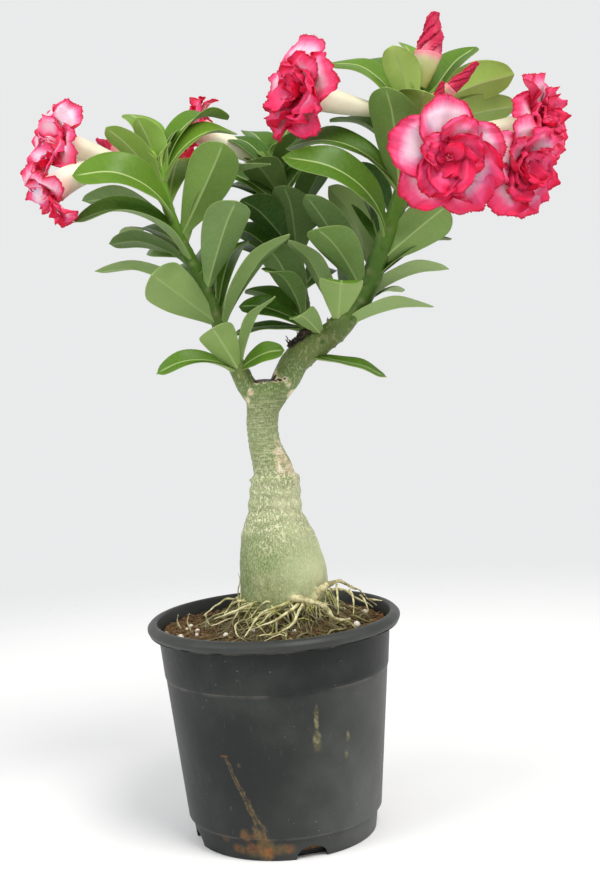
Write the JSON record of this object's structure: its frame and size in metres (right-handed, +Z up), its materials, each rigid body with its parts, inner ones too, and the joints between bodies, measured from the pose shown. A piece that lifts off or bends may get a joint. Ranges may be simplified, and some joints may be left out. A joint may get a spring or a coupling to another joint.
{
  "type": "potted flowering plant",
  "caption": "Potted desert rose with a swollen grey-green trunk, surface roots, leafy shoots and ruffled pink double flowers in a round nursery pot.",
  "frame": {"origin": "on the pot's axis, on the surface that the pot stands on", "axes": "+Z up through the pot; -Y towards the side the picture shows; +X to the right of that view"},
  "size_m": [0.3786, 0.194, 0.5697],
  "materials": {
    "pot_plastic": "black moulded nursery plastic with dull scuffs",
    "soil_mix": "loose brown coir and peat with white beads",
    "bark": "smooth grey-green living bark",
    "dried_growth": "shrivelled black remains",
    "green_shoot": "thick glossy green leaves with pale ribs",
    "bloom_petal": "soft velvety pink petals with crimson rims",
    "bud_petal": "tightly rolled crimson petals",
    "flower_tube": "pale cream and green flower tube"
  },
  "bodies": {
    "root": {"pot": "pot_plastic", "soil": "soil_mix", "caudex": "bark", "dried_stalk": "dried_growth", "left_shoot": "green_shoot", "middle_shoot": "green_shoot", "right_shoot": "green_shoot", "bloom_1_petals": "bloom_petal", "bloom_1_tube": "flower_tube", "bloom_2_petals": "bloom_petal", "bloom_2_tube": "flower_tube", "bloom_3_petals": "bloom_petal", "bloom_3_tube": "flower_tube", "bloom_4_petals": "bloom_petal", "bloom_4_tube": "flower_tube", "bloom_5_petals": "bloom_petal", "bloom_5_tube": "flower_tube", "bloom_6_petals": "bloom_petal", "bloom_6_tube": "flower_tube", "bloom_7_petals": "bloom_petal", "bloom_7_tube": "flower_tube", "bud_1_petals": "bud_petal", "bud_1_tube": "flower_tube", "bud_2_petals": "bud_petal", "bud_2_tube": "flower_tube", "bud_3_petals": "bud_petal", "bud_3_tube": "flower_tube", "bud_4_petals": "bud_petal", "bud_4_tube": "flower_tube"}
  },
  "joints": []
}
